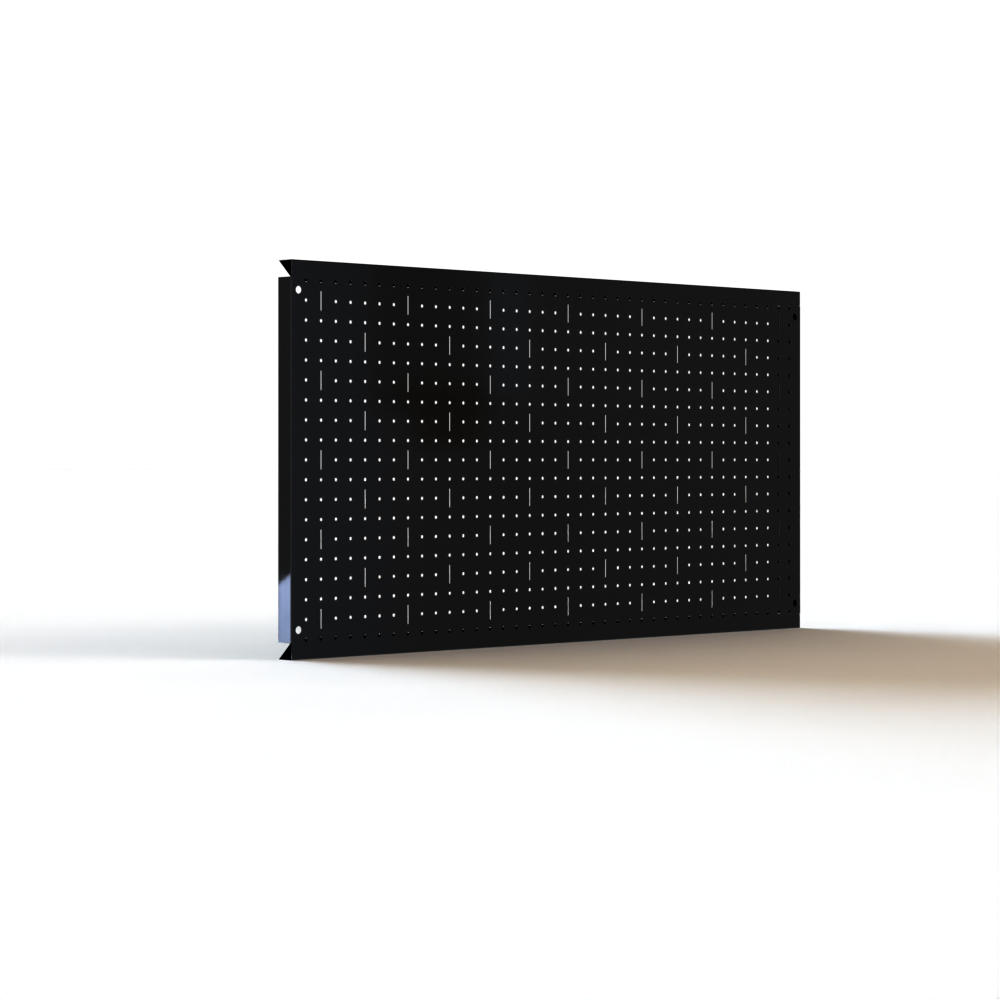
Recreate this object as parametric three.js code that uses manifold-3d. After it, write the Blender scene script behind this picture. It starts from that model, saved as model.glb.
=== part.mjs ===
import * as THREE from 'three';
import { mergeVertices } from 'three/addons/utils/BufferGeometryUtils.js';
import Module from 'manifold-3d';

const wasm = await Module();
wasm.setup();

// Pegboard tool wall: a shallow steel pan folded from one perforated sheet.
// Millimetres, +Z up. The perforated face looks along -Y, and the origin is the centre of the wall
// plane, which the turned-in back flanges lie against.
//
// The sheet is divided along its bend lines. Each edge has a wall, with the small bend at its front
// and its back, and a back flange. The face is divided into equal fields of whole hole columns.

// Driving dimensions
const PITCH = 25.4;
const COLUMNS = 39;
const ROWS = 19;
const DEPTH = 25.4;
const SHEET = 0.76;
const BEND_RADIUS = 1.16;
const BACK_FLANGE_WIDTH = 25;
const PEG_HOLE_DIAMETER = 4.76;
const SLOT_WIDTH = 1.8;
const SLOT_LENGTH = 25;
const FACE_HOLE_DIAMETER = 10;
const SCREW_HOLE_DIAMETER = 7;
const CORNER_NOTCH = 21.8;
const SIDE_FLANGE_CORNER_CUT = 3.4;
const SEAM = 0.3;
const CUTTER_OVERRUN = 1;

// Near-black gloss powder coat, a little glossier on the edges and duller at the back
const COAT_COLOUR = 0x141417;
const FACE_ROUGHNESS = 0.25;
const EDGE_ROUGHNESS = 0.2;
const BACK_ROUGHNESS = 0.3;

// Facets
const PEG_HOLE_SIDES = 6;
const SCREW_HOLE_SIDES = 16;
const BEND_SEGMENTS = 4;

// Derived sizes: the holes stand one pitch in from every edge
const WIDTH = (COLUMNS + 1) * PITCH;
const HEIGHT = (ROWS + 1) * PITCH;
const LONG_EDGE = WIDTH - 2 * BEND_RADIUS;
const SHORT_EDGE = HEIGHT - 2 * CORNER_NOTCH;
const FULL_MITRE = BACK_FLANGE_WIDTH - BEND_RADIUS - SEAM;
const MITRED_FLANGE = LONG_EDGE - 2 * (BEND_RADIUS + SEAM);
const FIELD_NAMES = ['face_left', 'face_centre', 'face_right'];
const FIELD_COLUMNS = COLUMNS / FIELD_NAMES.length;

// Corner fixing holes, half a pitch in from the ends and one and a half from the top and bottom
const FIXING_X = WIDTH / 2 - 0.5 * PITCH;
const FIXING_Z = HEIGHT / 2 - 1.5 * PITCH;

// The slots lie on two staggered grids, each repeating over a block of columns and rows
const SLOT_COLUMN_PERIOD = 6;
const SLOT_ROW_PERIOD = 4;
const SLOT_GRID_STARTS = [{ column: 1, row: 1 }, { column: 4, row: 3 }];

const QUARTER_TURN = Math.PI / 2;

const wall = new THREE.Group();

function coat(roughness) {
  const color = COAT_COLOUR;
  return new THREE.MeshStandardMaterial({ color, roughness, metalness: 0, flatShading: true });
}

function addMesh(parent, name, geometry, roughness) {
  const mesh = new THREE.Mesh(geometry, coat(roughness));
  mesh.name = name;
  parent.add(mesh);
  return mesh;
}

// A polygon with the same area as the round hole, and a corner towards +X
function roundHole(x, z, diameter, sides) {
  const angle = 2 * Math.PI / sides;
  const radius = diameter / 2 * Math.sqrt(angle / Math.sin(angle));
  const points = [];
  for (let i = 0; i < sides; i += 1) {
    const turn = i * angle;
    points.push(new THREE.Vector2(x + radius * Math.cos(turn), z + radius * Math.sin(turn)));
  }
  return new THREE.Shape(points);
}

function rectangle(left, right, low, high) {
  const outline = new THREE.Shape();
  outline.moveTo(left, low);
  outline.lineTo(right, low);
  outline.lineTo(right, high);
  outline.lineTo(left, high);
  outline.closePath();
  return outline;
}

function slotHole(x, z) {
  const halfWidth = SLOT_WIDTH / 2;
  const halfLength = SLOT_LENGTH / 2;
  return rectangle(x - halfWidth, x + halfWidth, z - halfLength, z + halfLength);
}

function isSlot(column, row) {
  return SLOT_GRID_STARTS.some((start) => column % SLOT_COLUMN_PERIOD === start.column
    && row % SLOT_ROW_PERIOD === start.row);
}

function toSolid(geometry) {
  geometry.deleteAttribute('normal');
  geometry.deleteAttribute('uv');
  const merged = mergeVertices(geometry);
  const vertProperties = merged.attributes.position.array;
  const triVerts = new Uint32Array(merged.index.array);
  return new wasm.Manifold(new wasm.Mesh({ numProp: 3, vertProperties, triVerts }));
}

function toGeometry(solid) {
  const { vertProperties, triVerts } = solid.getMesh();
  const geometry = new THREE.BufferGeometry();
  geometry.setAttribute('position', new THREE.BufferAttribute(vertProperties, 3));
  geometry.setIndex(new THREE.BufferAttribute(triVerts, 1));
  geometry.computeVertexNormals();
  return geometry;
}

// A flat piece of the sheet, drawn in X and Z, with its front at Y = front and its holes cut through
function plate(outline, holes, front) {
  const blank = new THREE.ExtrudeGeometry(outline, { depth: SHEET, bevelEnabled: false });
  let solid = toSolid(blank);
  if (holes.length > 0) {
    const depth = SHEET + 2 * CUTTER_OVERRUN;
    const punches = new THREE.ExtrudeGeometry(holes, { depth, bevelEnabled: false });
    punches.translate(0, 0, -CUTTER_OVERRUN);
    solid = solid.subtract(toSolid(punches));
  }
  const geometry = toGeometry(solid);
  geometry.rotateX(QUARTER_TURN);
  geometry.translate(0, front + SHEET, 0);
  return geometry;
}

// One field of the face: its own hole columns, and the corner fixing holes that fall inside it
function addField(index) {
  const last = FIELD_NAMES.length - 1;
  const faceEdge = WIDTH / 2 - BEND_RADIUS - SEAM;
  const faceTop = HEIGHT / 2 - BEND_RADIUS - SEAM;
  const fieldWidth = FIELD_COLUMNS * PITCH;
  const fieldStart = (index - FIELD_NAMES.length / 2) * fieldWidth;
  const left = index === 0 ? -faceEdge : fieldStart + SEAM / 2;
  const right = index === last ? faceEdge : fieldStart + fieldWidth - SEAM / 2;
  const holes = [];
  for (let column = index * FIELD_COLUMNS; column < (index + 1) * FIELD_COLUMNS; column += 1) {
    const x = (column - (COLUMNS - 1) / 2) * PITCH;
    for (let row = 0; row < ROWS; row += 1) {
      const z = ((ROWS - 1) / 2 - row) * PITCH;
      const hole = isSlot(column, row)
        ? slotHole(x, z)
        : roundHole(x, z, PEG_HOLE_DIAMETER, PEG_HOLE_SIDES);
      holes.push(hole);
    }
  }
  for (const x of [-FIXING_X, FIXING_X]) {
    for (const z of [-FIXING_Z, FIXING_Z]) {
      if (x > left && x < right) {
        holes.push(roundHole(x, z, FACE_HOLE_DIAMETER, SCREW_HOLE_SIDES));
      }
    }
  }
  const outline = rectangle(left, right, -faceTop, faceTop);
  addMesh(wall, FIELD_NAMES[index], plate(outline, holes, -DEPTH), FACE_ROUGHNESS);
}

// Cross-section of an edge wall: X is the distance in from its outside, Y the distance back
function edgeSection() {
  const inner = BEND_RADIUS - SHEET;
  const back = DEPTH - BEND_RADIUS;
  const section = new THREE.Shape();
  section.moveTo(BEND_RADIUS, 0);
  section.absarc(BEND_RADIUS, BEND_RADIUS, inner, -QUARTER_TURN, -2 * QUARTER_TURN, true);
  section.absarc(BEND_RADIUS, back, inner, 2 * QUARTER_TURN, QUARTER_TURN, true);
  section.absarc(BEND_RADIUS, back, BEND_RADIUS, QUARTER_TURN, 2 * QUARTER_TURN, false);
  section.absarc(BEND_RADIUS, BEND_RADIUS, BEND_RADIUS, -2 * QUARTER_TURN, -QUARTER_TURN, false);
  section.closePath();
  return section;
}

// Outline of a back flange, its two inner corners cut at 45 degrees
function backFlangeOutline(distance, length, cornerCut) {
  const half = length / 2;
  const end = [[BEND_RADIUS + SEAM, half]];
  if (cornerCut < FULL_MITRE) {
    end.push([BACK_FLANGE_WIDTH - cornerCut, half]);
  }
  end.push([BACK_FLANGE_WIDTH, half - cornerCut]);
  const otherEnd = end.map(([x, z]) => [x, -z]).reverse();
  const points = [...end, ...otherEnd].map(([x, z]) => new THREE.Vector2(x - distance, z));
  return new THREE.Shape(points);
}

// One edge, drawn on the left side of the panel and turned about Y into its place
function addEdge({ name, distance, length, flangeLength, cornerCut, turn, holes }) {
  const edge = new THREE.Group();
  edge.rotation.y = turn;
  const settings = { depth: length, bevelEnabled: false, curveSegments: BEND_SEGMENTS };
  const section = new THREE.ExtrudeGeometry(edgeSection(), settings);
  const edgeWall = addMesh(edge, `${name}_edge`, section, EDGE_ROUGHNESS);
  edgeWall.position.set(-distance, -DEPTH, -length / 2);
  const outline = backFlangeOutline(distance, flangeLength, cornerCut);
  addMesh(edge, `${name}_back_flange`, plate(outline, holes, -SHEET), BACK_ROUGHNESS);
  wall.add(edge);
}

for (let index = 0; index < FIELD_NAMES.length; index += 1) {
  addField(index);
}

const sideEdge = {
  distance: WIDTH / 2,
  length: SHORT_EDGE,
  flangeLength: SHORT_EDGE,
  cornerCut: SIDE_FLANGE_CORNER_CUT,
  holes: [-FIXING_Z, FIXING_Z].map((z) => {
    return roundHole(-FIXING_X, z, SCREW_HOLE_DIAMETER, SCREW_HOLE_SIDES);
  }),
};
const longEdge = {
  distance: HEIGHT / 2,
  length: LONG_EDGE,
  flangeLength: MITRED_FLANGE,
  cornerCut: FULL_MITRE,
  holes: [],
};

addEdge({ ...sideEdge, name: 'left', turn: 0 });
addEdge({ ...longEdge, name: 'top', turn: QUARTER_TURN });
addEdge({ ...sideEdge, name: 'right', turn: 2 * QUARTER_TURN });
addEdge({ ...longEdge, name: 'bottom', turn: -QUARTER_TURN });

export default wall;
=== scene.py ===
"""Pegboard tool wall: one folded, perforated, powder-coated steel sheet, standing on a pale studio floor.

Every piece is cut from the flat as a sheet-metal blank, with softened edges, and then folded round its
bends. A blank is drawn in two coordinates, in metres: for the face they are X and Z, and for an edge they
are the distance along the edge and the unrolled distance out from the face."""
import math

import bpy
import numpy as np
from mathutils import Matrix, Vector
from mathutils.geometry import delaunay_2d_cdt


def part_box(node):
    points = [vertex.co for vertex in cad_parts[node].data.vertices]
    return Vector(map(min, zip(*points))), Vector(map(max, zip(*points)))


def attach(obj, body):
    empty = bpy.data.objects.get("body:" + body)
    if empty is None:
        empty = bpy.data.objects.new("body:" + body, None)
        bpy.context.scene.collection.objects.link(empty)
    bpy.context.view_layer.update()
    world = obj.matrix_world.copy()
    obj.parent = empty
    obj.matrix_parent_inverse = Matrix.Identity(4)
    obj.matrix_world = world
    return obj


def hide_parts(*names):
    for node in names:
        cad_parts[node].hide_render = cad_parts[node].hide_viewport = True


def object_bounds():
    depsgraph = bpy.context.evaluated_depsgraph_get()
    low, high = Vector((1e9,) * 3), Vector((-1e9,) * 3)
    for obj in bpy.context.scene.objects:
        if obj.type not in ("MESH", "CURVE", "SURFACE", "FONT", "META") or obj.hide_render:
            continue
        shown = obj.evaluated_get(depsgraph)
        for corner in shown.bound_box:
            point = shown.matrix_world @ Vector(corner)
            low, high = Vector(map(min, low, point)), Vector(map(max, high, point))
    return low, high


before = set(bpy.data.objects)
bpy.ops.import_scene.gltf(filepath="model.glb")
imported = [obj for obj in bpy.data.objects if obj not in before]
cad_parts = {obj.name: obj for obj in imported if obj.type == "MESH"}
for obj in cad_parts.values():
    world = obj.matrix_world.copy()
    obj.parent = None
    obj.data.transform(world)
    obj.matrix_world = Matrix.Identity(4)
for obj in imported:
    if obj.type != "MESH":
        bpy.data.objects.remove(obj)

cad_low, cad_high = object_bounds()

# ---------------------------------------------------------------- sizes

# From the frame
FRONT, WALL_PLANE = cad_low.y, cad_high.y
HALF_WIDTH, HALF_HEIGHT = cad_high.x, cad_high.z
FLOOR = cad_low.z
DEPTH = WALL_PLANE - FRONT
face_low, face_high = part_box("face_centre")
SHEET = face_high.y - face_low.y
left_low, left_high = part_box("left_edge")
BEND_RADIUS = left_high.x - left_low.x
HALF_SHORT_EDGE = left_high.z
HALF_LONG_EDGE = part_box("top_edge")[1].x
LONG_FLANGE_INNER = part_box("top_back_flange")[0].z
SHORT_FLANGE_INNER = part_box("right_back_flange")[0].x

# The hole pattern: the holes stand one pitch in from every edge
COLUMNS, ROWS = 39, 19
PITCH = 2 * HALF_WIDTH / (COLUMNS + 1)
PEG_HOLE = 0.00476
SLOT_WIDTH, SLOT_LENGTH = 0.0018, 0.025
SLOT_CORNER = 0.0003
FACE_HOLE, SCREW_HOLE = 0.010, 0.007
FIXING_X = HALF_WIDTH - 0.5 * PITCH
FIXING_Z = HALF_HEIGHT - 1.5 * PITCH
SLOT_COLUMN_PERIOD, SLOT_ROW_PERIOD = 6, 4
SLOT_GRID_STARTS = ((1, 1), (4, 3))
FIELDS = ("face_left", "face_centre", "face_right")

# Coated edges are softened by RIM, and a small relief is cut beside each end of the side bends. The inner
# corners of the side back flanges are cut off by SIDE_CORNER_CUT
RIM = 0.00006
RELIEF = 0.001
SIDE_CORNER_CUT = 0.0034

# How finely curves are divided
PEG_SIDES, FIXING_SIDES, CORNER_STEPS, BEND_STEPS = 24, 48, 3, 8

# A turn whose sine is below STRAIGHT is no corner, and points within SAME_POINT metres are one point
STRAIGHT = 1e-6
SAME_POINT = 1e-9

# The flat blank of an edge, measured out from the face: a bend, then the wall, a second bend and the
# flange. BEND_LINES divide one bend
ARC = BEND_RADIUS * math.pi / 2
WALL_START = ARC
WALL_END = ARC + DEPTH - 2 * BEND_RADIUS
FLANGE_START = WALL_END + ARC
BEND_LINES = [ARC * step / BEND_STEPS for step in range(BEND_STEPS + 1)]


# ---------------------------------------------------------------- blanks: the metal is on each loop's left

def circle(x, z, diameter, sides):
    """A round hole, clockwise, all of it free edge."""
    turns = -2 * math.pi * np.arange(sides) / sides
    points = np.stack([x + diameter / 2 * np.cos(turns), z + diameter / 2 * np.sin(turns)], axis=1)
    return points, np.ones(sides, bool)


def slot(x, z):
    """A vertical slot, clockwise, with slightly rounded corners."""
    steps = np.arange(CORNER_STEPS + 1) / CORNER_STEPS
    corners = []
    for right, up, start in ((1, 1, 90), (1, -1, 0), (-1, -1, -90), (-1, 1, -180)):
        centre_x = x + right * (SLOT_WIDTH / 2 - SLOT_CORNER)
        centre_z = z + up * (SLOT_LENGTH / 2 - SLOT_CORNER)
        turns = np.radians(start - 90 * steps)
        arc_x = centre_x + SLOT_CORNER * np.cos(turns)
        arc_z = centre_z + SLOT_CORNER * np.sin(turns)
        corners.append(np.stack([arc_x, arc_z], axis=1))
    points = np.concatenate(corners)
    return points, np.ones(len(points), bool)


def is_slot(column, row):
    """Whether this hole of the pattern is a slot, column and row counted from the top left."""
    place = (column % SLOT_COLUMN_PERIOD, row % SLOT_ROW_PERIOD)
    return place in SLOT_GRID_STARTS


def field_side(x, at_end):
    """The right side of a field of the face, from the bottom up, as (point, free edge after it). at_end is
    true at an end of the panel, where the sheet folds back, and false at a seam inside the face."""
    top = HALF_HEIGHT - BEND_RADIUS
    if not at_end:
        return [((x, -top), False), ((x, top), False)]
    end, inner = HALF_SHORT_EDGE, x - RELIEF
    past_end = end + RELIEF
    low = [(x, -top), (x, -past_end), (inner, -past_end), (inner, -end)]
    high = [(x, end), (inner, end), (inner, past_end), (x, past_end)]
    free_low = [(point, True) for point in low]
    free_high = [(point, True) for point in high]
    return free_low + [((x, -end), False)] + free_high + [((x, top), False)]


def field_blank(index):
    """One field of the face: its outline and the holes of its own columns."""
    columns = COLUMNS // len(FIELDS)
    edge = HALF_WIDTH - BEND_RADIUS
    seam = columns * PITCH / 2
    left, right = ((-edge, -seam), (-seam, seam), (seam, edge))[index]
    right_side = field_side(right, index == len(FIELDS) - 1)
    mirrored = field_side(-left, index == 0)
    left_side = [((-x, -z), free) for (x, z), free in mirrored]
    outline = right_side + left_side
    points, free_edges = zip(*outline)
    loops = [(np.array(points), np.array(free_edges))]
    for column in range(index * columns, (index + 1) * columns):
        x = (column - (COLUMNS - 1) / 2) * PITCH
        for row in range(ROWS):
            z = ((ROWS - 1) / 2 - row) * PITCH
            loops.append(slot(x, z) if is_slot(column, row) else circle(x, z, PEG_HOLE, PEG_SIDES))
    for x in (-FIXING_X, FIXING_X):
        if left < x < right:
            loops += [circle(x, z, FACE_HOLE, FIXING_SIDES) for z in (-FIXING_Z, FIXING_Z)]
    return loops


def wall_blank(half, mitred):
    """An edge wall with its two bends: a strip divided along its bend lines, with free ends. A mitred back
    flange has its mitre start on the back bend."""
    turned_in = [BEND_RADIUS * (1 - math.cos(line / BEND_RADIUS)) for line in BEND_LINES]
    cut_back = turned_in if mitred else [0.0] * len(BEND_LINES)
    lines = [(half, line) for line in BEND_LINES]
    lines += [(half - cut, WALL_END + line) for cut, line in zip(cut_back, BEND_LINES)]
    points = lines + [(-end, line) for end, line in reversed(lines)]
    free = [True] * (len(points) - 1) + [False]
    free[len(lines) - 1] = False
    return [(np.array(points), np.array(free))]


def flange_blank(half, width, corner_cut, holes):
    """A back flange with screw holes, its two inner corners cut at 45 degrees. width is counted from the
    bend."""
    inner = FLANGE_START + width
    corners = [(half, FLANGE_START)]
    if corner_cut < width:
        corners.append((half, inner - corner_cut))
    corners.append((half - corner_cut, inner))
    points = corners + [(-end, line) for end, line in reversed(corners)]
    free = [True] * (len(points) - 1) + [False]
    screws = [circle(along, line, SCREW_HOLE, FIXING_SIDES) for along, line in holes]
    return [(np.array(points), np.array(free))] + screws


# ---------------------------------------------------------------- folding: where a blank's points end up

def face_place(points):
    """Where the points of a face blank lie on the front skin, and the directions there: along each of the
    blank's coordinates, and out of the skin."""
    along = np.tile((1.0, 0.0, 0.0), (len(points), 1))
    across = np.tile((0.0, 0.0, 1.0), (len(points), 1))
    out = np.tile((0.0, -1.0, 0.0), (len(points), 1))
    skin = np.stack([points[:, 0], np.full(len(points), FRONT), points[:, 1]], axis=1)
    return skin, along, across, out


def edge_place(outward, half_extent):
    """The same for an edge, which folds back from the face. outward points away from the panel."""
    outward, back = np.array(outward, float), np.array((0.0, 1.0, 0.0))
    lengthwise = np.cross(outward, -back)
    radius, straight = BEND_RADIUS, WALL_END - WALL_START

    def place(points):
        along_by, unrolled = points[:, :1], points[:, 1:]
        first = np.clip(unrolled / radius, 0, math.pi / 2)
        wall = np.clip(unrolled - WALL_START, 0, straight)
        second = np.clip((unrolled - WALL_END) / radius, 0, math.pi / 2)
        flange = np.maximum(unrolled - FLANGE_START, 0)
        turn = first + second
        out_by = radius * np.sin(first) - radius * (1 - np.cos(second)) - flange
        back_by = radius * (1 - np.cos(first)) + wall + radius * np.sin(second)
        start = outward * (half_extent - radius) + back * FRONT
        skin = start + along_by * lengthwise + out_by * outward + back_by * back
        out = np.sin(turn) * outward - np.cos(turn) * back
        across = np.cos(turn) * outward + np.sin(turn) * back
        along = np.tile(lengthwise, (len(points), 1))
        return skin, along, across, out

    return place


# ---------------------------------------------------------------- sheet bodies

def add_object(name, mesh, material):
    """A new object of one material, linked to the scene."""
    mesh.materials.append(material)
    thing = bpy.data.objects.new(name, mesh)
    bpy.context.scene.collection.objects.link(thing)
    return thing


def left_normals(points):
    """The direction into the metal from the stretch of loop after each point."""
    ahead = np.roll(points, -1, axis=0) - points
    ahead /= np.linalg.norm(ahead, axis=1, keepdims=True)
    return np.stack([-ahead[:, 1], ahead[:, 0]], axis=1)


def inset(points, free):
    """The loop moved RIM into the metal along its free edges, and the direction out of the metal at each
    point."""
    after = left_normals(points)
    before = np.roll(after, 1, axis=0)
    by_after = RIM * free
    by_before = np.roll(by_after, 1)
    cross = before[:, 0] * after[:, 1] - before[:, 1] * after[:, 0]
    straight = np.abs(cross) < STRAIGHT
    safe = np.where(straight, 1.0, cross)
    moved = np.stack([
        (by_before * after[:, 1] - by_after * before[:, 1]) / safe,
        (by_after * before[:, 0] - by_before * after[:, 0]) / safe,
    ], axis=1)
    moved[straight] = (after * by_after[:, None])[straight]
    at_seam = free != np.roll(free, 1)
    both = before + after
    only_free = np.where(free[:, None], after, before)
    out = -np.where(at_seam[:, None], only_free, both)
    return points + moved, out / np.linalg.norm(out, axis=1, keepdims=True)


def triangulate(loops):
    """Triangles of the metal between the outline and the holes, as indices into the points of all loops. A
    triangle whose corners all lie on one hole is inside that hole, because every hole is convex."""
    points = [Vector(point) for loop in loops for point in loop]
    owner = [number for number, loop in enumerate(loops) for _ in loop]
    edges, start = [], 0
    for loop in loops:
        count = len(loop)
        edges += [(start + i, start + (i + 1) % count) for i in range(count)]
        start += count
    inside_outline = 1
    _, _, faces, sources, _, _ = delaunay_2d_cdt(points, edges, [], inside_outline, SAME_POINT)
    triangles = [[sources[corner][0] for corner in face] for face in faces]

    def is_metal(triangle):
        its_loops = {owner[corner] for corner in triangle}
        return its_loops == {0} or len(its_loops) > 1

    return [triangle for triangle in triangles if is_metal(triangle)]


def strip_faces(count):
    """The quads of a wall blank, whose outline runs up one end and down the other."""
    half = count // 2
    return [[i, i + 1, count - 2 - i, count - 1 - i] for i in range(half - 1)]


def cut_edge_faces(loops, count):
    """The quads down the cut edges, between four rings of count points each."""
    faces, start = [], 0
    for points, _ in loops:
        around = np.arange(len(points))
        here, ahead = start + around, start + np.roll(around, -1)
        for ring in range(3):
            top, below = ring * count, (ring + 1) * count
            quads = np.stack([top + here, below + here, below + ahead, top + ahead], axis=1)
            faces += quads.tolist()
        start += len(points)
    return faces


def sheet_body(name, loops, place, material, skin_faces=None):
    """A closed body of the sheet's thickness. It has four rings of points round each loop: one on the front
    skin, two down the cut edge, one on the back skin. rim marks the cut edges, which the coat paints a
    lighter grey: partly a thinner coat, partly a painted highlight."""
    insets = [inset(points, free) for points, free in loops]
    skin_loops = [moved for moved, _ in insets]
    skin_points = np.concatenate(skin_loops)
    edge_points = np.concatenate([points for points, _ in loops])
    sideways = np.concatenate([out for _, out in insets])
    count = len(sideways)

    # Each ring: its points, its depth below the front skin, whether it faces forward (1), sideways (0) or
    # back (-1), and its rim value
    rings = (
        (skin_points, 0.0, 1.0, 0.0),
        (edge_points, RIM, 0.0, 1.0),
        (edge_points, SHEET - RIM, 0.0, 1.0),
        (skin_points, SHEET, -1.0, 0.0),
    )
    positions, normals, rims = [], [], []
    for flat, depth, facing, rim in rings:
        skin, along, across, out = place(flat)
        positions.append(skin - out * depth)
        side = sideways[:, :1] * along + sideways[:, 1:] * across
        normals.append(side if facing == 0.0 else facing * out)
        rims.append(np.full(count, rim))

    front_faces = skin_faces or triangulate(skin_loops)
    back_faces = [[3 * count + corner for corner in reversed(face)] for face in front_faces]
    faces = front_faces + back_faces + cut_edge_faces(loops, count)
    mesh = bpy.data.meshes.new(name)
    mesh.from_pydata(np.concatenate(positions).tolist(), [], faces)
    mesh.attributes.new("rim", "FLOAT", "POINT").data.foreach_set("value", np.concatenate(rims))
    mesh.shade_smooth()
    mesh.normals_split_custom_set_from_vertices(np.concatenate(normals).tolist())
    return add_object(name, mesh, material)


# ---------------------------------------------------------------- materials

# The coat drifts between two tones. On cut edges it turns a much lighter grey: partly a thinner film,
# partly a painted highlight that lightens the hole edges
COAT_DARK, COAT_LIGHT = (0.0100, 0.0099, 0.0098), (0.0140, 0.0142, 0.0150)
RIM_COAT_AND_HIGHLIGHT = (0.180, 0.180, 0.182)
COAT_IOR = 1.5
FACE_ROUGHNESS, EDGE_ROUGHNESS, BACK_ROUGHNESS = 0.08, 0.07, 0.16
SMOOTHER, ROUGHER = 0.02, 0.03

# Noises, as (scale per metre, detail), and the part of their range that is used
TONE_NOISE, GLOSS_NOISE = (3.0, 3.0), (40.0, 4.0)
PEEL_NOISE, GRAIN_NOISE = (420.0, 1.0), (2400.0, 2.0)
NOISE_RANGE = (0.3, 0.7)

# Bumps, as (strength, height in metres)
PEEL_BUMP, GRAIN_BUMP = (0.2, 0.00006), (0.25, 0.00001)

FLOOR_DARK, FLOOR_LIGHT = (0.805, 0.805, 0.805), (0.825, 0.825, 0.825)
FLOOR_ROUGHNESS = 0.9
MOTTLE_SCALE = 4.0


def new_tree(owner):
    """The node tree of a new material or world."""
    owner.use_nodes = True
    return owner.node_tree


def remap(tree, value, from_range, to_range=(0.0, 1.0)):
    """The value, with one range stretched over another and held at its ends."""
    span = tree.nodes.new("ShaderNodeMapRange")
    span.inputs["From Min"].default_value, span.inputs["From Max"].default_value = from_range
    span.inputs["To Min"].default_value, span.inputs["To Max"].default_value = to_range
    tree.links.new(value, span.inputs["Value"])
    return span.outputs["Result"]


def ramp(tree, value, stops):
    """The colour at the value, between stops of (position, colour)."""
    node = tree.nodes.new("ShaderNodeValToRGB")
    elements = node.color_ramp.elements
    elements[0].position, elements[1].position = stops[0][0], stops[-1][0]
    elements[0].color, elements[1].color = (*stops[0][1], 1), (*stops[-1][1], 1)
    for position, colour in stops[1:-1]:
        elements.new(position).color = (*colour, 1)
    tree.links.new(value, node.inputs["Fac"])
    return node.outputs["Color"]


def powder_coat(name, roughness, seed):
    """Near-black gloss powder coat: orange peel, a fine grain, slow drifts of tone, and cut edges painted a
    lighter grey, partly for a thinner coat and partly as a painted highlight.
    """
    material = bpy.data.materials.new(name)
    tree = new_tree(material)
    nodes, links = tree.nodes, tree.links
    shader = nodes["Principled BSDF"]
    place = nodes.new("ShaderNodeTexCoord")

    def noise(kind, shift):
        """Each shift gives a pattern of its own."""
        scale, detail = kind
        texture = nodes.new("ShaderNodeTexNoise")
        texture.noise_dimensions = "4D"
        texture.inputs["W"].default_value = seed + shift
        texture.inputs["Scale"].default_value = scale
        texture.inputs["Detail"].default_value = detail
        links.new(place.outputs["Object"], texture.inputs["Vector"])
        return texture.outputs["Fac"]

    def bump(kind, height):
        strength, distance = kind
        node = nodes.new("ShaderNodeBump")
        node.inputs["Strength"].default_value = strength
        node.inputs["Distance"].default_value = distance
        links.new(height, node.inputs["Height"])
        return node

    drift = remap(tree, noise(TONE_NOISE, 0.0), NOISE_RANGE)
    tone = ramp(tree, drift, ((0.0, COAT_DARK), (1.0, COAT_LIGHT)))
    rim = nodes.new("ShaderNodeAttribute")
    rim.attribute_name = "rim"
    # Painted highlight: the cut edges get a much lighter grey than the coat, partly for the thinner coat
    # there
    rim_coat_and_highlight_mix = nodes.new("ShaderNodeMix")
    rim_coat_and_highlight_mix.data_type = "RGBA"
    rim_coat_and_highlight_mix.inputs["B"].default_value = (*RIM_COAT_AND_HIGHLIGHT, 1)
    links.new(rim.outputs["Fac"], rim_coat_and_highlight_mix.inputs["Factor"])
    links.new(tone, rim_coat_and_highlight_mix.inputs["A"])
    links.new(rim_coat_and_highlight_mix.outputs["Result"], shader.inputs["Base Color"])

    gloss_range = (roughness - SMOOTHER, roughness + ROUGHER)
    gloss = remap(tree, noise(GLOSS_NOISE, 1.0), NOISE_RANGE, gloss_range)
    links.new(gloss, shader.inputs["Roughness"])

    peel = bump(PEEL_BUMP, noise(PEEL_NOISE, 2.0))
    grain = bump(GRAIN_BUMP, noise(GRAIN_NOISE, 3.0))
    links.new(peel.outputs["Normal"], grain.inputs["Normal"])
    links.new(grain.outputs["Normal"], shader.inputs["Normal"])
    shader.inputs["IOR"].default_value = COAT_IOR
    return material


def floor_material():
    """A matt, pale studio floor with a barely visible mottle."""
    material = bpy.data.materials.new("pale_floor")
    tree = new_tree(material)
    nodes, links = tree.nodes, tree.links
    shader = nodes["Principled BSDF"]
    place = nodes.new("ShaderNodeTexCoord")
    mottle = nodes.new("ShaderNodeTexNoise")
    mottle.inputs["Scale"].default_value = MOTTLE_SCALE
    links.new(place.outputs["Object"], mottle.inputs["Vector"])
    tone = ramp(tree, mottle.outputs["Fac"], ((0.0, FLOOR_DARK), (1.0, FLOOR_LIGHT)))
    links.new(tone, shader.inputs["Base Color"])
    shader.inputs["Roughness"].default_value = FLOOR_ROUGHNESS
    shader.inputs["Specular IOR Level"].default_value = 0.0
    return material


# ---------------------------------------------------------------- the pieces

def add_piece(piece, node):
    """Puts a piece on the part's one body, in place of a CAD node."""
    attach(piece, "root")
    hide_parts(node)


# Each coat has its own seed, so that no two have the same noise
face_coat = powder_coat("face_coat", FACE_ROUGHNESS, 0.0)
edge_coat = powder_coat("edge_coat", EDGE_ROUGHNESS, 10.0)
back_coat = powder_coat("back_coat", BACK_ROUGHNESS, 20.0)

for index, node in enumerate(FIELDS):
    field = sheet_body(node + "_sheet", field_blank(index), face_place, face_coat)
    add_piece(field, node)

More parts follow.
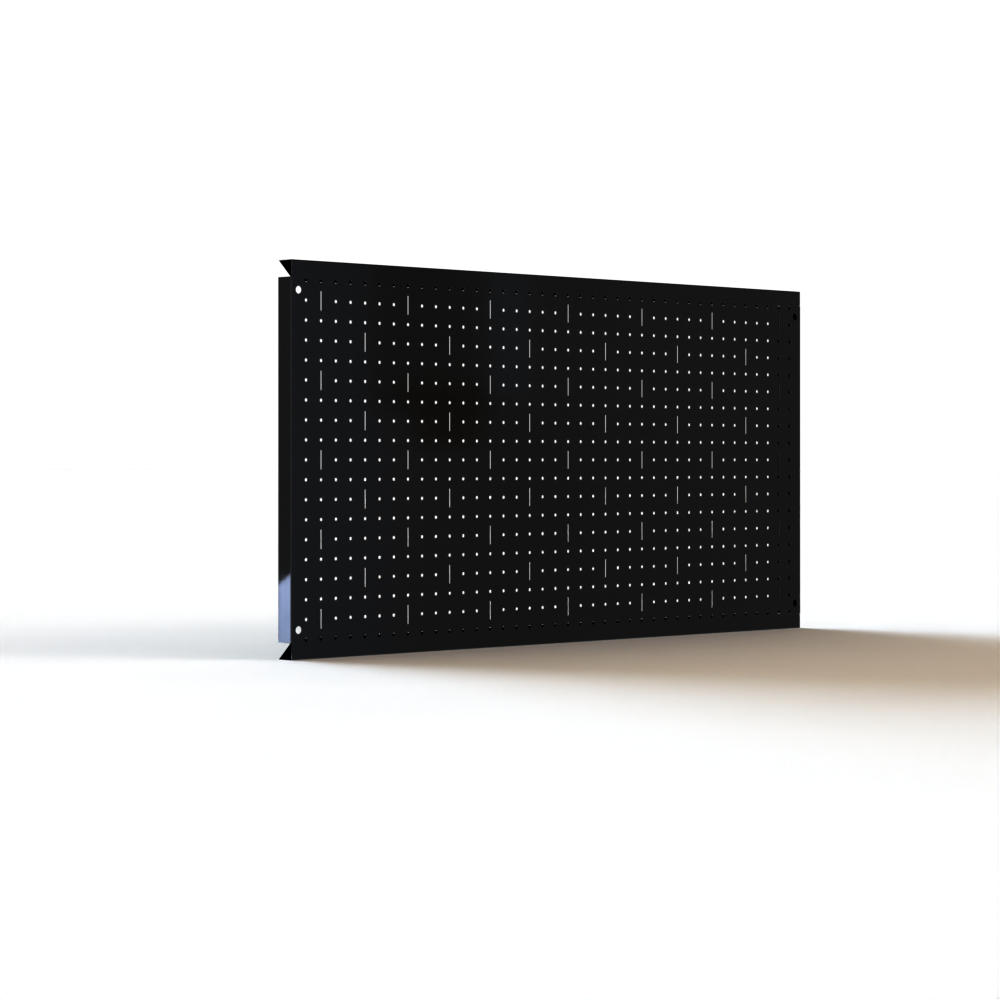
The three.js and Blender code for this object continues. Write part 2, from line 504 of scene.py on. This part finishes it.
side_flange = HALF_WIDTH - BEND_RADIUS - SHORT_FLANGE_INNER
long_flange = HALF_HEIGHT - BEND_RADIUS - LONG_FLANGE_INNER
fixing_line = FLANGE_START + HALF_WIDTH - BEND_RADIUS - FIXING_X
side_screws = [(-FIXING_Z, fixing_line), (FIXING_Z, fixing_line)]
short_wall, long_wall = wall_blank(HALF_SHORT_EDGE, False), wall_blank(HALF_LONG_EDGE, True)
short_back = flange_blank(HALF_SHORT_EDGE, side_flange, SIDE_CORNER_CUT, side_screws)
long_back = flange_blank(HALF_LONG_EDGE - BEND_RADIUS, long_flange, long_flange, [])

# Each edge: its side, the way out from the panel, how far out it lies, and its two blanks
EDGES = (
    ("left", (-1, 0, 0), HALF_WIDTH, short_wall, short_back),
    ("right", (1, 0, 0), HALF_WIDTH, short_wall, short_back),
    ("top", (0, 0, 1), HALF_HEIGHT, long_wall, long_back),
    ("bottom", (0, 0, -1), HALF_HEIGHT, long_wall, long_back),
)
for side, outward, half_extent, wall, back in EDGES:
    place = edge_place(outward, half_extent)
    fold = sheet_body(side + "_edge_fold", wall, place, edge_coat, strip_faces(len(wall[0][0])))
    add_piece(fold, side + "_edge")
    flange = sheet_body(side + "_back_flange_sheet", back, place, back_coat)
    add_piece(flange, side + "_back_flange")


# ---------------------------------------------------------------- studio

# The camera looks along the diagonal between +X and +Y, from the place that fits the photo's holes
DIAGONAL = math.sqrt(0.5)
CAMERA_TURN = -45.0
CAMERA_PLACE = (-2.9333, FRONT - 2.7992, 0.0)
SENSOR_WIDTH, LENS, SHIFT_UP = 36.0, 105.1, -0.0401
CAMERA_CLIP = 500.0
FLOOR_REACH = 60.0

# What the camera sees behind everything: a little over white, so that it stays white beside the floor
BACKDROP = 1.02

# The room as a light, in front of the panel and behind it, blended where a direction's Y is in ROOM_BLEND
ROOM_FRONT, ROOM_BACK = (0.622, 0.554, 0.535), (0.929, 0.803, 0.599)
ROOM_BLEND = (-0.5, 0.5)

# What reflections see: walls from behind the panel's right end (0) round to the camera (1), and where a
# direction's Z is outside the blends, a ceiling above them and a floor below them
MIRRORED_LEVEL, MIRRORED_CEILING, MIRRORED_FLOOR = 3.0, 0.1, 2.2
MIRRORED_WALLS = (
    (0.0, (0.2, 0.2, 0.2)),
    (0.45, (0.44, 0.44, 0.44)),
    (0.51, (0.48, 0.48, 0.48)),
    (0.53, (0.53, 0.56, 0.61)),
    (0.75, (1.0, 1.0, 1.0)),
)
CEILING_BLEND, FLOOR_BLEND = (0.06, 0.45), (-0.20, -0.08)

# Distant lights, as (name, azimuth, elevation, width, strength, colour), the angles in degrees
SUNS = (
    ("back_light", -0.7, 4.0, 52.6, 13.4, (0.605, 0.784, 1.0)),
    ("side_light", 146.6, 27.9, 22.4, 0.73, (1.0, 0.959, 0.863)),
)

# The card that the foot of the left edge mirrors: its ends, as (x, y, bottom, top), and how its glow runs
# from bottom to top
BLUE_CARD_START = (-HALF_WIDTH - 0.245, WALL_PLANE + 0.241, FLOOR - 0.008, FLOOR + 0.104)
BLUE_CARD_END = (-HALF_WIDTH - 0.222, WALL_PLANE + 0.264, FLOOR - 0.008, FLOOR + 0.078)
BLUE_CARD_COLOUR = (0.67, 0.77, 1.0)
BLUE_CARD_GLOW = (11.8, 14.3)

# The screens that the face mirrors, as (name, left, right, bottom, top, colour, glow), measured in metres
# from a point SCREEN_DISTANCE from the middle of the panel
SCREEN_DISTANCE = 2.0
SCREENS = (
    ("grey_board", -0.380, -0.153, 0.10, 1.0, (1.0, 1.0, 0.98), 1.3),
    ("brown_shelf", -0.33, -0.14, 0.10, 0.155, (1.0, 0.9, 0.8), 1.05),
    ("brown_foot", -0.29, -0.16, 0.03, 0.10, (1.0, 0.9, 0.8), 1.15),
    ("blue_board", -0.133, -0.055, 0.12, 1.0, (0.88, 0.93, 1.0), 1.75),
)

# The tone curve raises each light value to the power CONTRAST, and is set at CURVE_STEPS
CONTRAST = 2.0
CURVE_STEPS = (0.05, 0.1, 0.2, 0.35, 0.5, 0.7, 0.85)
COMBINED_CURVE = 3


def add_camera():
    """Level with the middle of the panel, 45 degrees to its left, with a long lens."""
    data = bpy.data.cameras.new("camera")
    data.sensor_width, data.lens, data.shift_y = SENSOR_WIDTH, LENS, SHIFT_UP
    data.clip_end = CAMERA_CLIP
    camera = bpy.data.objects.new("camera", data)
    camera.location = CAMERA_PLACE
    camera.rotation_euler = (math.radians(90), 0, math.radians(CAMERA_TURN))
    bpy.context.scene.collection.objects.link(camera)
    bpy.context.scene.camera = camera


def add_quad(name, corners, material):
    """A flat face of four corners, as one object of the studio."""
    mesh = bpy.data.meshes.new(name)
    mesh.from_pydata(corners, [], [(0, 1, 2, 3)])
    return add_object(name, mesh, material)


def add_floor():
    """A wide floor under the panel, which reflections leave out."""
    signs = ((-1, -1), (1, -1), (1, 1), (-1, 1))
    corners = [(x * FLOOR_REACH, y * FLOOR_REACH, FLOOR) for x, y in signs]
    floor = add_quad("floor", corners, floor_material())
    floor.visible_glossy = False


def add_sun(name, azimuth, elevation, width, strength, colour):
    """A distant soft light that reflections leave out. azimuth is counted from +Y towards +X."""
    light = bpy.data.lights.new(name, "SUN")
    light.energy, light.color, light.angle = strength, colour, math.radians(width)
    turn, rise = math.radians(azimuth), math.radians(elevation)
    source = Vector((math.cos(rise) * math.sin(turn), math.cos(rise) * math.cos(turn), math.sin(rise)))
    sun = bpy.data.objects.new(name, light)
    sun.rotation_euler = source.to_track_quat("Z", "Y").to_euler()
    sun.visible_glossy = False
    bpy.context.scene.collection.objects.link(sun)


def glow_material(name, colour, heights, glows):
    """Light of one colour, whose strength changes between two heights."""
    material = bpy.data.materials.new(name)
    tree = new_tree(material)
    nodes, links = tree.nodes, tree.links
    nodes.clear()
    place, split = nodes.new("ShaderNodeTexCoord"), nodes.new("ShaderNodeSeparateXYZ")
    links.new(place.outputs["Object"], split.inputs["Vector"])
    glow = nodes.new("ShaderNodeEmission")
    glow.inputs["Color"].default_value = (*colour, 1)
    links.new(remap(tree, split.outputs["Z"], heights, glows), glow.inputs["Strength"])
    output = nodes.new("ShaderNodeOutputMaterial")
    links.new(glow.outputs["Emission"], output.inputs["Surface"])
    return material


def add_card(name, start, end, colour, glows):
    """A standing card that only reflections see. Each end is (x, y, bottom, top)."""
    start_x, start_y, start_bottom, start_top = start
    end_x, end_y, end_bottom, end_top = end
    corners = [
        (start_x, start_y, start_bottom),
        (end_x, end_y, end_bottom),
        (end_x, end_y, end_top),
        (start_x, start_y, start_top),
    ]
    material = glow_material(name, colour, (start_bottom, start_top), glows)
    card = add_quad(name, corners, material)
    card.visible_camera = card.visible_diffuse = card.visible_shadow = False


def add_screen(name, left, right, bottom, top, colour, glow):
    """A card of even glow, standing across the way in which the face mirrors the camera. left and right are
    counted across that way."""
    away = SCREEN_DISTANCE * Vector((DIAGONAL, -DIAGONAL))
    across = Vector((DIAGONAL, DIAGONAL))
    start, end = away + left * across, away + right * across
    add_card(name, (*start, bottom, top), (*end, bottom, top), colour, (glow, glow))


def add_world():
    """Plain white behind everything. As a light it is a pale room, brighter and warmer behind the panel.
    Reflections see a grey room, brightest on the camera's side, with a dark ceiling."""
    world = bpy.data.worlds.new("studio")
    bpy.context.scene.world = world
    tree = new_tree(world)
    nodes, links = tree.nodes, tree.links
    nodes.clear()
    place, split = nodes.new("ShaderNodeTexCoord"), nodes.new("ShaderNodeSeparateXYZ")
    links.new(place.outputs["Generated"], split.inputs["Vector"])

    def white(strength):
        shade = nodes.new("ShaderNodeBackground")
        shade.inputs["Color"].default_value = (1, 1, 1, 1)
        shade.inputs["Strength"].default_value = strength
        return shade.outputs["Background"]

    def coloured(colour, strength):
        shade = nodes.new("ShaderNodeBackground")
        shade.inputs["Strength"].default_value = strength
        links.new(colour, shade.inputs["Color"])
        return shade.outputs["Background"]

    def choose(factor, otherwise, answer):
        """The answer where the factor is 1, and the other where it is 0."""
        mix = nodes.new("ShaderNodeMixShader")
        links.new(factor, mix.inputs["Fac"])
        links.new(otherwise, mix.inputs[1])
        links.new(answer, mix.inputs[2])
        return mix.outputs["Shader"]

    backward = remap(tree, split.outputs["Y"], ROOM_BLEND)
    room = coloured(ramp(tree, backward, ((0, ROOM_FRONT), (1, ROOM_BACK))), 1.0)

    # How far a direction points towards where the camera stands: 1 straight at it, -1 straight away
    to_camera = nodes.new("ShaderNodeVectorMath")
    to_camera.operation = "DOT_PRODUCT"
    to_camera.inputs[1].default_value = (-DIAGONAL, -DIAGONAL, 0)
    links.new(place.outputs["Generated"], to_camera.inputs[0])
    round_to_camera = remap(tree, to_camera.outputs["Value"], (-1.0, 1.0))
    walls = coloured(ramp(tree, round_to_camera, MIRRORED_WALLS), MIRRORED_LEVEL)
    up = split.outputs["Z"]
    above = choose(remap(tree, up, CEILING_BLEND), walls, white(MIRRORED_CEILING))
    mirrored = choose(remap(tree, up, FLOOR_BLEND), white(MIRRORED_FLOOR), above)

    path = nodes.new("ShaderNodeLightPath")
    light = choose(path.outputs["Is Glossy Ray"], room, mirrored)
    seen = choose(path.outputs["Is Camera Ray"], light, white(BACKDROP))
    output = nodes.new("ShaderNodeOutputWorld")
    links.new(seen, output.inputs["Surface"])


def set_contrast():
    """A contrasty tone curve: each light value is raised to a power before it is displayed."""
    view = bpy.context.scene.view_settings
    view.view_transform = "Standard"
    view.use_curve_mapping = True
    combined = view.curve_mapping.curves[COMBINED_CURVE]
    for value in CURVE_STEPS:
        combined.points.new(value, value ** CONTRAST)
    view.curve_mapping.update()


add_camera()
add_floor()
add_world()
for sun in SUNS:
    add_sun(*sun)
add_card("blue_card", BLUE_CARD_START, BLUE_CARD_END, BLUE_CARD_COLOUR, BLUE_CARD_GLOW)
for screen in SCREENS:
    add_screen(*screen)
set_contrast()
